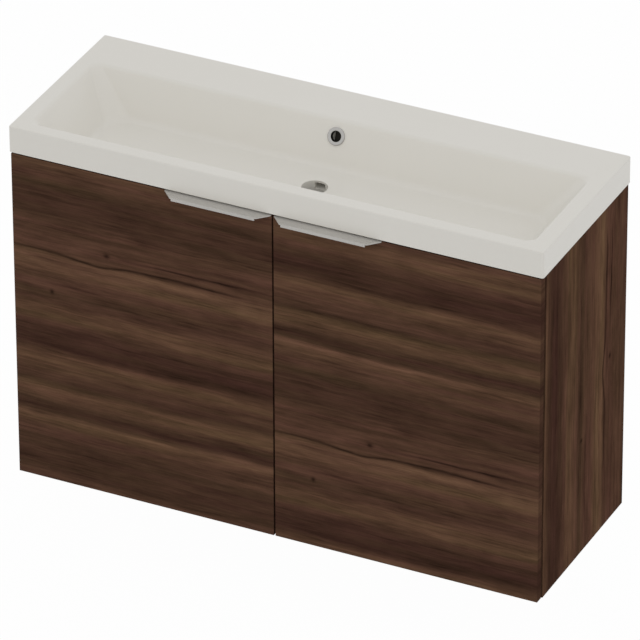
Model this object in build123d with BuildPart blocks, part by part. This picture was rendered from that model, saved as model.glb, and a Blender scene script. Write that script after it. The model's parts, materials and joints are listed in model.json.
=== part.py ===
"""Wall-hung vanity unit: basin on a two-door cabinet, millimetres, +Z up, +Y towards the wall.

The origin is on the wall plane, at the centre of the four wall fixing holes.
"""
from build123d import *
from math import atan2, cos, degrees, sin, radians, tan
import os

os.makedirs("parts", exist_ok=True)

# Overall sizes
basin_length = 1000.0
basin_depth = 360.0
basin_edge_height = 50.0
cabinet_height = 640.0
basin_under_z = 155.0
wall_y = 0.0
wall_standoff = 5.5

# Panels
panel_thickness = 16.0
back_thickness = 8.0
basin_overhang = 1.5
carcass_back_inset = 12.0
groove_depth = 4.0
panel_edge_round = 0.6

# Doors
door_thickness = 16.0
door_back_gap = 2.0
door_top_gap = 2.5
door_side_inset = 2.0
door_centre_gap = 3.0

# Basin
basin_corner_radius = 4.0
basin_edge_round = 2.0
skirt_thickness = 12.0
deck_thickness = 12.0
bowl_wall = 9.0
bowl_end_rim = 30.0
bowl_front_rim = 30.0
bowl_back_deck = 98.0
bowl_corner_radius = 18.0
bowl_floor_corner_radius = 40.0
bowl_depth = 77.0
bowl_end_slope = 55.0
bowl_front_slope = 12.0
bowl_back_slope = 37.0
bowl_floor_round = 16.0
bowl_rim_round = 10.0
waste_from_front = 164.0
waste_radius = 23.0
waste_dish_radius = 44.0
waste_dish_depth = 5.0
waste_boss_radius = 33.0
waste_boss_height = 22.0
overflow_drop = 26.5
overflow_hole_radius = 12.1
overflow_ring_radius = 16.0
overflow_ring_height = 2.2
overflow_ring_round = 1.0
overflow_ring_bore = 9.5
overflow_sleeve_clearance = 0.1
overflow_sleeve_length = 8.0
overflow_channel_width = 20.0
overflow_channel_depth = 12.0
overflow_channel_wall = 5.0

# Rails, shelf and back
rail_depth = 70.0
rail_below_bowl = 4.0
hanging_rail_height = 80.0
shelf_drop = 330.0
shelf_side_gap = 1.0
shelf_front_setback = 25.0
shelf_back_gap = 1.0
shelf_notch_width = 220.0
shelf_notch_depth = 110.0
shelf_pin_radius = 2.5
shelf_pin_length = 16.0
shelf_pin_depth = 9.0
shelf_pin_pad = 1.5
shelf_pin_pad_half = 4.0
shelf_pin_from_front = 60.0
shelf_pin_from_back = 50.0
service_width = 320.0
service_height = 150.0
service_above_shelf = 15.0
service_corner_radius = 20.0
back_top_gap = 1.0

# Dowels and cam fittings
dowel_radius = 4.0
dowel_length = 30.0
dowel_in_side = 10.0
dowel_from_edge = 20.0
cam_radius = 7.5
cam_depth = 12.0
cam_from_side = 24.0
cam_from_dowel = 30.0
cam_bolt_radius = 3.0
cam_bolt_in_side = 11.0
cam_bolt_end_gap = 1.0
fitting_clearance = 0.1

# Handles
handle_length = 200.0
handle_edge_inset = 1.5
handle_projection = 20.0
handle_sheet = 2.0
handle_lip = 6.0
handle_end_taper = 19.0
handle_corner_radius = 6.0
handle_flange_height = 20.0
handle_clearance = 0.1
handle_screw_inset = 40.0
handle_screw_radius = 1.5
handle_screw_head_radius = 2.8
handle_screw_length = 10.0

# Concealed hinges
hinge_from_door_end = 100.0
cup_edge_distance = 5.0
cup_radius = 17.5
cup_depth = 11.5
cup_wall = 1.3
cup_bore_clearance = 0.1
cup_lug_thickness = 1.0
cup_lug_length = 31.0
cup_lug_width = 14.0
cup_lug_start = 14.5
cup_screw_spacing = 48.0
cup_screw_inward = 5.5
cup_screw_radius = 1.75
cup_screw_length = 11.0
cup_screw_head_radius = 3.2
cup_screw_head_height = 1.6
cup_pin_from_edge = 10.6
cup_pin_from_front = 11.0
arm_pin_from_edge = 30.0
arm_pin_from_front = 14.0
hinge_pin_radius = 1.5
pin_running_clearance = 0.05
lever_half_width = 5.0
lever_thickness = 2.6
lever_eye_radius = 2.9
lever_hook_depth = 7.6
lever_hook_near = 14.0
lever_hook_far = 22.0
arm_cheek = 2.0
arm_side_clearance = 0.3
arm_length = 74.0
arm_nose_radius = 3.0
arm_straight_from_front = 42.0
arm_low = 2.0
arm_high = 9.0
arm_web = 1.5
arm_edge_round = 1.0
plate_from_front = 37.0
plate_base = 1.8
plate_wing_width = 16.0
plate_wing_height = 50.0
plate_rail_length = 52.0
plate_rail_half_width = 4.9
plate_rail_height = 7.2
plate_screw_spacing = 32.0
plate_screw_radius = 3.0
plate_screw_length = 11.0
plate_screw_head_radius = 4.2
plate_screw_head_height = 1.4

arm_lock_from_front = 76.0
arm_lock_radius = 2.0
arm_lock_bite = 5.0
arm_lock_head_radius = 3.6
arm_lock_head_height = 1.8

# Door buffers
buffer_radius = 4.0
buffer_height = 1.7
buffer_from_edge = 12.0

# Hanging gear
wall_hole_spacing = 32.0
wall_hole_radius = 3.2
wall_plate_width = 58.0
wall_plate_low = 28.0
wall_plate_high = 44.0
wall_plate_sheet = 2.5
wall_plate_lip_z = 26.0
wall_plate_lip_reach = 10.0
wall_plate_lip_width = 28.0
wall_plate_upstand = 11.0
hanger_width = 32.0
hanger_depth = 20.0
hanger_low = 5.0
hanger_high = 67.0
hanger_wall = 3.0
hook_thickness = 3.0
hook_height = 8.0
hook_nose_drop = 7.0
hook_nose_thickness = 3.2
hook_nose_gap = 0.6
hook_slot_clearance = 1.0
cover_thickness = 2.0
hanger_screw_radius = 2.0
hanger_screw_length = 14.0
hanger_screw_head_radius = 3.8
hanger_screw_head_height = 2.0
hanger_screw_spacing = 40.0

# Places worked out from the sizes above
basin_top_z = basin_under_z + basin_edge_height
cabinet_bottom_z = basin_under_z - cabinet_height
front_y = wall_y - basin_depth
side_outer_x = basin_length / 2 - basin_overhang
side_inner_x = side_outer_x - panel_thickness
door_back_y = front_y + door_thickness
carcass_front_y = door_back_y + door_back_gap
carcass_back_y = wall_y - wall_standoff
back_panel_rear_y = carcass_back_y - carcass_back_inset
back_panel_front_y = back_panel_rear_y - back_thickness
door_top_z = basin_under_z - door_top_gap
door_outer_x = side_outer_x - door_side_inset
door_inner_x = door_centre_gap / 2
bottom_top_z = cabinet_bottom_z + panel_thickness

SIDES = {"left": -1.0, "right": 1.0}
HEIGHTS = {"upper": door_top_z - hinge_from_door_end, "lower": cabinet_bottom_z + hinge_from_door_end}


def block(x_range, y_range, z_range, mode=Mode.ADD):
    """Add or cut a square block between the given pairs of faces, in any order."""
    centre = [sum(pair) / 2 for pair in (x_range, y_range, z_range)]
    size = [abs(pair[1] - pair[0]) for pair in (x_range, y_range, z_range)]
    with Locations(tuple(centre)):
        Box(*size, mode=mode)


def rod(start, direction, radius, length, mode=Mode.ADD):
    """Add or cut a round bar that starts at a point and runs along a direction."""
    with BuildSketch(Plane(origin=start, z_dir=direction)) as section:
        Circle(radius)
    extrude(section.sketch, amount=length, mode=mode)


def save(piece, name):
    """Label a finished piece and write it to its own file."""
    piece.part.label = name
    export_step(piece.part, f"parts/{name}.step")


# Basin
bowl_centre_y = front_y + (bowl_front_rim + basin_depth - bowl_back_deck) / 2
bowl_length = basin_length - 2 * bowl_end_rim
bowl_width = basin_depth - bowl_front_rim - bowl_back_deck
floor_z = basin_top_z - bowl_depth
floor_length = bowl_length - 2 * bowl_end_slope
floor_width = bowl_width - bowl_front_slope - bowl_back_slope
floor_centre_y = bowl_centre_y + (bowl_front_slope - bowl_back_slope) / 2
bowl_back_y = wall_y - bowl_back_deck
waste_y = front_y + waste_from_front
waste_seat_z = floor_z - waste_dish_depth
waste_boss_z = waste_seat_z - waste_boss_height
back_wall_angle = degrees(atan2(bowl_back_slope, bowl_depth))


def bowl_back_at(z):
    """Give the y of the bowl's sloping back wall at a height."""
    return bowl_back_y - bowl_back_slope * (basin_top_z - z) / bowl_depth


def bowl_sections(grow, top_z, bottom_z):
    """Give the bowl's outlines at its rim and its floor, grown by a wall on every side."""
    outlines = []
    for z, length, width, centre_y, radius in (
        (top_z, bowl_length, bowl_width, bowl_centre_y, bowl_corner_radius),
        (bottom_z, floor_length, floor_width, floor_centre_y, bowl_floor_corner_radius),
    ):
        with BuildSketch(Plane.XY.offset(z)) as outline:
            with Locations((0, centre_y)):
                RectangleRounded(length + 2 * grow, width + 2 * grow, radius + grow)
        outlines.append(outline.sketch)
    return outlines


overflow_z = basin_top_z - overflow_drop
overflow_plane = Plane(
    origin=(0, bowl_back_at(overflow_z), overflow_z),
    x_dir=(1, 0, 0),
    z_dir=(0, -cos(radians(back_wall_angle)), sin(radians(back_wall_angle))),
)

with BuildPart() as bowl_space:
    loft(bowl_sections(0.0, basin_top_z, floor_z))
    fillet(bowl_space.faces().sort_by(Axis.Z)[0].edges(), bowl_floor_round)

with BuildPart() as basin:
    with BuildSketch(Plane.XY.offset(basin_under_z)):
        with Locations((0, (front_y + wall_y) / 2)):
            RectangleRounded(basin_length, basin_depth, basin_corner_radius)
    extrude(amount=basin_edge_height)
    fillet(basin.faces().sort_by(Axis.Z)[-1].edges(), basin_edge_round)
    with BuildSketch(Plane.XY.offset(basin_under_z)):
        with Locations((0, (front_y + wall_y) / 2)):
            RectangleRounded(
                basin_length - 2 * skirt_thickness,
                basin_depth - 2 * skirt_thickness,
                basin_corner_radius,
            )
    extrude(amount=basin_edge_height - deck_thickness, mode=Mode.SUBTRACT)
    loft(bowl_sections(bowl_wall, basin_top_z - basin_edge_round, floor_z - bowl_wall))
    # Overflow duct down the back wall and under the floor to the waste
    wall_run = bowl_wall / cos(radians(back_wall_angle))
    duct_top_z = basin_top_z - deck_thickness
    duct_out = overflow_channel_depth + overflow_channel_wall
    channel_top_z = duct_top_z - overflow_channel_wall
    under_floor_z = floor_z - bowl_wall
    channel_low_z = under_floor_z - overflow_channel_depth
    duct_low_z = channel_low_z - overflow_channel_wall
    with BuildSketch(Plane.YZ):
        with BuildLine():
            Polyline(
                (bowl_back_at(duct_top_z) + wall_run / 2, duct_top_z),
                (bowl_back_at(duct_top_z) + wall_run + duct_out, duct_top_z),
                (bowl_back_at(duct_low_z) + wall_run + duct_out, duct_low_z),
                (waste_y + waste_boss_radius - overflow_channel_wall, duct_low_z),
                (waste_y + waste_boss_radius - overflow_channel_wall, under_floor_z + bowl_wall / 2),
                (bowl_back_at(under_floor_z) + wall_run / 2, under_floor_z + bowl_wall / 2),
                close=True,
            )
        make_face()
    extrude(amount=overflow_channel_width / 2 + overflow_channel_wall, both=True)
    rod((0, waste_y, waste_boss_z), (0, 0, 1), waste_boss_radius, floor_z - waste_boss_z)
    with BuildSketch(Plane.YZ):
        with BuildLine():
            Polyline(
                (bowl_back_at(channel_top_z) + wall_run, channel_top_z),
                (bowl_back_at(channel_top_z) + wall_run + overflow_channel_depth, channel_top_z),
                (bowl_back_at(channel_low_z) + wall_run + overflow_channel_depth, channel_low_z),
                (waste_y, channel_low_z),
                (waste_y, under_floor_z),
                (bowl_back_at(under_floor_z) + wall_run, under_floor_z),
                close=True,
            )
        make_face()
    extrude(amount=overflow_channel_width / 2, both=True, mode=Mode.SUBTRACT)
    add(bowl_space.part, mode=Mode.SUBTRACT)
    rim = basin.edges().filter_by(Plane.XY).group_by(Axis.Z)[-1]
    bowl_rim = rim.filter_by_position(Axis.Y, front_y + bowl_front_rim, bowl_back_y)
    fillet(bowl_rim, bowl_rim_round)
    rod((0, waste_y, waste_boss_z), (0, 0, 1), waste_radius, floor_z - waste_boss_z, Mode.SUBTRACT)
    with Locations((0, waste_y, floor_z - waste_dish_depth / 2)):
        Cone(waste_radius, waste_dish_radius, waste_dish_depth, mode=Mode.SUBTRACT)
    rod(
        overflow_plane.origin + overflow_plane.z_dir * bowl_wall,
        -overflow_plane.z_dir,
        overflow_hole_radius,
        2 * bowl_wall + overflow_channel_depth / 2,
        Mode.SUBTRACT,
    )
save(basin, "basin")

with BuildPart() as overflow_ring:
    with BuildSketch(overflow_plane):
        Circle(overflow_ring_radius)
    extrude(amount=overflow_ring_height)
    fillet(overflow_ring.edges().sort_by(Axis.Z)[-1], overflow_ring_round)
    with BuildSketch(overflow_plane):
        Circle(overflow_hole_radius - overflow_sleeve_clearance)
    extrude(amount=-overflow_sleeve_length)
    with BuildSketch(overflow_plane.offset(overflow_ring_height)):
        Circle(overflow_ring_bore)
    extrude(amount=-(overflow_ring_height + overflow_sleeve_length), mode=Mode.SUBTRACT)
save(overflow_ring, "overflow_ring")


# Carcass
rail_top_z = waste_boss_z - rail_below_bowl
rail_low_z = rail_top_z - panel_thickness
rail_back_y = carcass_front_y + rail_depth
hanging_rail_front_y = back_panel_front_y - panel_thickness
hanging_rail_low_z = basin_under_z - hanging_rail_height
shelf_top_z = basin_under_z - shelf_drop
shelf_low_z = shelf_top_z - panel_thickness
shelf_front_y = carcass_front_y + shelf_front_setback
shelf_back_y = back_panel_front_y - shelf_back_gap
dowel_hole = dowel_radius + fitting_clearance
bolt_hole = cam_bolt_radius + fitting_clearance


def along_member(start_y, start_z, step_y, step_z):
    """Give a joint's dowel and cam places, as y and z on a side panel's inner face."""
    return {"dowel": (start_y, start_z), "cam": (start_y + step_y, start_z + step_z)}


rail_joints = [
    along_member(carcass_front_y + dowel_from_edge, (rail_low_z + rail_top_z) / 2, cam_from_dowel, 0.0),
]
hanging_joints = [
    along_member(
        (hanging_rail_front_y + back_panel_front_y) / 2,
        hanging_rail_low_z + dowel_from_edge,
        0.0,
        cam_from_dowel,
    ),
]
bottom_mid_z = (cabinet_bottom_z + bottom_top_z) / 2
bottom_joints = [
    along_member(carcass_front_y + dowel_from_edge, bottom_mid_z, cam_from_dowel, 0.0),
    along_member(back_panel_front_y - dowel_from_edge, bottom_mid_z, -cam_from_dowel, 0.0),
]
all_joints = rail_joints + hanging_joints + bottom_joints


def cut_joint_holes(side, joints, cam_face, cam_direction):
    """Cut one end of a member for its dowels, cam bolts and cams; cam_face gives a cam's mouth."""
    inner_x = side * side_inner_x
    for joint in joints:
        dowel_depth = dowel_length - dowel_in_side
        rod((inner_x, *joint["dowel"]), (-side, 0, 0), dowel_hole, dowel_depth, Mode.SUBTRACT)
        rod((inner_x, *joint["cam"]), (-side, 0, 0), bolt_hole, cam_from_side, Mode.SUBTRACT)
        mouth = cam_face(side * (side_inner_x - cam_from_side), *joint["cam"])
        rod(mouth, cam_direction, cam_radius + fitting_clearance, cam_depth, Mode.SUBTRACT)


def under_rail(x, y, z):
    """Give the mouth of a cam let into the front rail from below."""
    return (x, y, rail_low_z)


def under_bottom(x, y, z):
    """Give the mouth of a cam let into the bottom panel from below."""
    return (x, y, cabinet_bottom_z)


def behind_rail(x, y, z):
    """Give the mouth of a cam let into the hanging rail from behind."""
    return (x, back_panel_front_y, z)


JOINT_SETS = (
    (rail_joints, under_rail, (0, 0, 1)),
    (hanging_joints, behind_rail, (0, -1, 0)),
    (bottom_joints, under_bottom, (0, 0, 1)),
)

hinge_plate_y = carcass_front_y + plate_from_front
hanger_mid_z = (hanger_low + hanger_high) / 2
hanger_front_y = back_panel_front_y - hanger_depth
hanger_screw_y = back_panel_front_y - hanger_depth / 2
hanger_screw_zs = [hanger_mid_z - hanger_screw_spacing / 2, hanger_mid_z + hanger_screw_spacing / 2]
shelf_pin_ys = [carcass_front_y + shelf_pin_from_front, back_panel_front_y - shelf_pin_from_back]
shelf_pin_z = shelf_low_z - shelf_pin_pad - shelf_pin_radius / 2

for name, side in SIDES.items():
    with BuildPart() as side_panel:
        block(
            (side * side_inner_x, side * side_outer_x),
            (carcass_front_y, carcass_back_y),
            (cabinet_bottom_z, basin_under_z),
        )
        outer_face = side_panel.faces().sort_by(Axis.X)[-1 if side > 0 else 0]
        fillet(outer_face.edges(), panel_edge_round)
        block(
            (side * side_inner_x, side * (side_inner_x + groove_depth + fitting_clearance)),
            (back_panel_front_y - fitting_clearance, back_panel_rear_y + fitting_clearance),
            (bottom_top_z - groove_depth, basin_under_z),
            Mode.SUBTRACT,
        )
        for joint in all_joints:
            dowel_point = (side * side_inner_x, *joint["dowel"])
            bolt_point = (side * side_inner_x, *joint["cam"])
            rod(dowel_point, (side, 0, 0), dowel_hole, dowel_in_side, Mode.SUBTRACT)
            rod(bolt_point, (side, 0, 0), bolt_hole, cam_bolt_in_side, Mode.SUBTRACT)
        for y in shelf_pin_ys:
            rod(
                (side * side_inner_x, y, shelf_pin_z),
                (side, 0, 0),
                shelf_pin_radius + fitting_clearance / 2,
                shelf_pin_depth,
                Mode.SUBTRACT,
            )
        for hinge_z in HEIGHTS.values():
            for step in (-plate_screw_spacing / 2, plate_screw_spacing / 2):
                rod(
                    (side * side_inner_x, hinge_plate_y, hinge_z + step),
                    (side, 0, 0),
                    plate_screw_radius + fitting_clearance / 2,
                    plate_screw_length,
                    Mode.SUBTRACT,
                )
        for z in hanger_screw_zs:
            rod(
                (side * side_inner_x, hanger_screw_y, z),
                (side, 0, 0),
                hanger_screw_radius + fitting_clearance / 2,
                hanger_screw_length - hanger_wall,
                Mode.SUBTRACT,
            )
    save(side_panel, f"side_{name}")

with BuildPart() as bottom_panel:
    block(
        (-side_inner_x, side_inner_x),
        (carcass_front_y, carcass_back_y),
        (cabinet_bottom_z, bottom_top_z),
    )
    block(
        (-side_inner_x, side_inner_x),
        (back_panel_front_y - fitting_clearance, back_panel_rear_y + fitting_clearance),
        (bottom_top_z - groove_depth - fitting_clearance, bottom_top_z),
        Mode.SUBTRACT,
    )
    for side in SIDES.values():
        cut_joint_holes(side, bottom_joints, under_bottom, (0, 0, 1))
save(bottom_panel, "bottom_panel")

with BuildPart() as front_rail:
    block((-side_inner_x, side_inner_x), (carcass_front_y, rail_back_y), (rail_low_z, rail_top_z))
    for side in SIDES.values():
        cut_joint_holes(side, rail_joints, under_rail, (0, 0, 1))
save(front_rail, "front_rail")

with BuildPart() as hanging_rail:
    block(
        (-side_inner_x, side_inner_x),
        (hanging_rail_front_y, back_panel_front_y),
        (hanging_rail_low_z, basin_under_z),
    )
    for side in SIDES.values():
        cut_joint_holes(side, hanging_joints, behind_rail, (0, -1, 0))
save(hanging_rail, "hanging_rail")

hanger_x = side_inner_x - hanger_width / 2
hook_low_z = wall_plate_lip_z + wall_plate_upstand
hook_high_z = hook_low_z + hook_height
hook_slot = (hook_low_z - hook_slot_clearance, hook_high_z + hook_slot_clearance)
slot_half = hook_thickness / 2 + hook_slot_clearance
service_low_z = shelf_top_z + service_above_shelf

with BuildPart() as back_panel:
    panel_half = side_inner_x + groove_depth - fitting_clearance
    block(
        (-panel_half, panel_half),
        (back_panel_front_y, back_panel_rear_y),
        (bottom_top_z - groove_depth, basin_under_z - back_top_gap),
    )
    with BuildSketch(Plane.XZ.offset(-back_panel_rear_y)):
        with Locations((0, service_low_z + service_height / 2)):
            RectangleRounded(service_width, service_height, service_corner_radius)
    extrude(amount=back_thickness, mode=Mode.SUBTRACT)
    for side in SIDES.values():
        block(
            (side * hanger_x - slot_half, side * hanger_x + slot_half),
            (back_panel_front_y, back_panel_rear_y),
            hook_slot,
            Mode.SUBTRACT,
        )
save(back_panel, "back_panel")

with BuildPart() as shelf:
    shelf_half = side_inner_x - shelf_side_gap
    block((-shelf_half, shelf_half), (shelf_front_y, shelf_back_y), (shelf_low_z, shelf_top_z))
    block(
        (-shelf_notch_width / 2, shelf_notch_width / 2),
        (shelf_back_y - shelf_notch_depth, shelf_back_y),
        (shelf_low_z, shelf_top_z),
        Mode.SUBTRACT,
    )
    fillet(shelf.edges().filter_by(Axis.Z).group_by(Axis.Y)[1], service_corner_radius)
save(shelf, "shelf")

with BuildPart() as shelf_pins:
    for side in SIDES.values():
        for y in shelf_pin_ys:
            rod(
                (side * (side_inner_x + shelf_pin_depth), y, shelf_pin_z),
                (-side, 0, 0),
                shelf_pin_radius,
                shelf_pin_length,
            )
            block(
                (side * side_inner_x, side * (side_inner_x + shelf_pin_depth - shelf_pin_length)),
                (y - shelf_pin_pad_half, y + shelf_pin_pad_half),
                (shelf_low_z - shelf_pin_pad, shelf_low_z),
            )
save(shelf_pins, "shelf_pins")

with BuildPart() as dowels:
    for side in SIDES.values():
        for joint in all_joints:
            start_x = side * (side_inner_x + dowel_in_side - fitting_clearance)
            dowel_run = dowel_length - 2 * fitting_clearance
            rod((start_x, *joint["dowel"]), (-side, 0, 0), dowel_radius, dowel_run)
save(dowels, "dowels")

with BuildPart() as cams:
    for side in SIDES.values():
        for joints, face, direction in JOINT_SETS:
            for joint in joints:
                mouth = face(side * (side_inner_x - cam_from_side), *joint["cam"])
                bolt_point = (side * side_inner_x, *joint["cam"])
                rod(mouth, direction, cam_radius, cam_depth)
                rod(bolt_point, (-side, 0, 0), bolt_hole, cam_from_side, Mode.SUBTRACT)
save(cams, "cams")

with BuildPart() as cam_bolts:
    for side in SIDES.values():
        for joint in all_joints:
            start_x = side * (side_inner_x + cam_bolt_in_side)
            bolt_run = cam_bolt_in_side + cam_from_side - cam_bolt_end_gap
            rod((start_x, *joint["cam"]), (-side, 0, 0), cam_bolt_radius, bolt_run)
save(cam_bolts, "cam_bolts")

# Doors and handles
handle_far_x = door_inner_x + handle_edge_inset + handle_length
handle_near_x = door_inner_x + handle_edge_inset
handle_mid_x = (handle_near_x + handle_far_x) / 2
handle_low_z = door_top_z - handle_sheet
handle_front_y = front_y - handle_projection
handle_screw_z = door_top_z - handle_flange_height / 2 - handle_sheet / 2
handle_screw_xs = [handle_near_x + handle_screw_inset, handle_far_x - handle_screw_inset]
flange_back_y = door_back_y + handle_sheet
front_half = handle_length / 2 - handle_end_taper
handle_corner_turn = atan2(handle_projection, handle_end_taper)
lip_half = front_half - handle_corner_radius * tan(handle_corner_turn / 2)
cup_x = door_outer_x - cup_edge_distance - cup_radius
cup_screw_x = cup_x - cup_screw_inward
cup_floor_y = door_back_y - cup_depth
buffer_zs = [bottom_mid_z, (rail_low_z + rail_top_z) / 2]


def countersunk(start, direction, grow, mode=Mode.ADD):
    """Add or cut a countersunk handle screw whose head lies flush at its start."""
    head_plane = Plane(origin=start, z_dir=direction)
    head_depth = handle_screw_head_radius - handle_screw_radius
    outlines = []
    for depth, radius in ((0.0, handle_screw_head_radius), (head_depth, handle_screw_radius)):
        with BuildSketch(head_plane.offset(depth)) as outline:
            Circle(radius + grow)
        outlines.append(outline.sketch)
    loft(outlines, mode=mode)
    rod(start, direction, handle_screw_radius + grow, handle_screw_length, mode)


for name, side in SIDES.items():
    with BuildPart() as door:
        block(
            (side * door_inner_x, side * door_outer_x),
            (front_y, door_back_y),
            (cabinet_bottom_z, door_top_z),
        )
        fillet(door.faces().sort_by(Axis.Y)[0].edges(), panel_edge_round)
        block(
            (side * (handle_near_x - handle_clearance), side * (handle_far_x + handle_clearance)),
            (front_y, door_back_y),
            (handle_low_z, door_top_z),
            Mode.SUBTRACT,
        )
        for hinge_z in HEIGHTS.values():
            rod(
                (side * cup_x, door_back_y, hinge_z),
                (0, -1, 0),
                cup_radius + cup_bore_clearance,
                cup_depth,
                Mode.SUBTRACT,
            )
            for step in (-cup_screw_spacing / 2, cup_screw_spacing / 2):
                rod(
                    (side * cup_screw_x, door_back_y, hinge_z + step),
                    (0, -1, 0),
                    cup_screw_radius + fitting_clearance / 2,
                    cup_screw_length,
                    Mode.SUBTRACT,
                )
        for x in handle_screw_xs:
            rod(
                (side * x, door_back_y, handle_screw_z),
                (0, -1, 0),
                handle_screw_radius + fitting_clearance / 2,
                handle_screw_length,
                Mode.SUBTRACT,
            )
    save(door, f"door_{name}")

    with BuildPart() as handle:
        with BuildSketch(Plane.XY.offset(handle_low_z)):
            with BuildLine():
                FilletPolyline(
                    (side * handle_near_x, front_y),
                    (side * (handle_mid_x - front_half), handle_front_y),
                    (side * (handle_mid_x + front_half), handle_front_y),
                    (side * handle_far_x, front_y),
                    radius=(0.0, handle_corner_radius, handle_corner_radius, 0.0),
                    close=True,
                )
            make_face()
        extrude(amount=handle_sheet)
        block(
            (side * handle_near_x, side * handle_far_x),
            (front_y, flange_back_y),
            (handle_low_z, door_top_z),
        )
        block(
            (side * handle_near_x, side * handle_far_x),
            (door_back_y, flange_back_y),
            (door_top_z - handle_flange_height, door_top_z),
        )
        block(
            (side * (handle_mid_x - lip_half), side * (handle_mid_x + lip_half)),
            (handle_front_y, handle_front_y + handle_sheet),
            (door_top_z - handle_lip, door_top_z),
        )
        for x in handle_screw_xs:
            screw_head = (side * x, flange_back_y, handle_screw_z)
            countersunk(screw_head, (0, -1, 0), fitting_clearance / 2, Mode.SUBTRACT)
    save(handle, f"handle_{name}")

    with BuildPart() as handle_screws:
        for x in handle_screw_xs:
            countersunk((side * x, flange_back_y, handle_screw_z), (0, -1, 0), 0.0)
    save(handle_screws, f"handle_screws_{name}")

    with BuildPart() as buffers:
        for z in buffer_zs:
            buffer_point = (side * (door_inner_x + buffer_from_edge), door_back_y, z)
            rod(buffer_point, (0, 1, 0), buffer_radius, buffer_height)
    save(buffers, f"door_buffers_{name}")


# Concealed hinges: a place is given by its distance from the door's outer edge and front face
side_from_edge = door_outer_x - side_inner_x
pin_offset = cup_edge_distance + cup_radius - cup_pin_from_edge
cup_pin_half = (cup_radius**2 - (pin_offset + hinge_pin_radius) ** 2) ** 0.5
arm_half = lever_half_width + arm_side_clearance + arm_cheek
cheek_inner = lever_half_width + arm_side_clearance
arm_back_from_front = arm_pin_from_front + arm_length
arm_nose_low = side_from_edge + arm_low
arm_nose_high = side_from_edge + arm_high


def place(side, from_edge, from_front):
    """Give the x and y of a hinge point on one side of the cabinet."""
    return (side * (door_outer_x - from_edge), front_y + from_front)


def pin_bar(side, from_edge, from_front, radius, z_centre, half_length, mode=Mode.ADD):
    """Add or cut a vertical round bar at a hinge point."""
    x, y = place(side, from_edge, from_front)
    rod((x, y, z_centre - half_length), (0, 0, 1), radius, 2 * half_length, mode)


def across(side, from_edge_pair, from_front_pair, z_pair, mode=Mode.ADD):
    """Add or cut a square block given in hinge distances."""
    block(
        [side * (door_outer_x - value) for value in from_edge_pair],
        [front_y + value for value in from_front_pair],
        z_pair,
        mode,
    )


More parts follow.
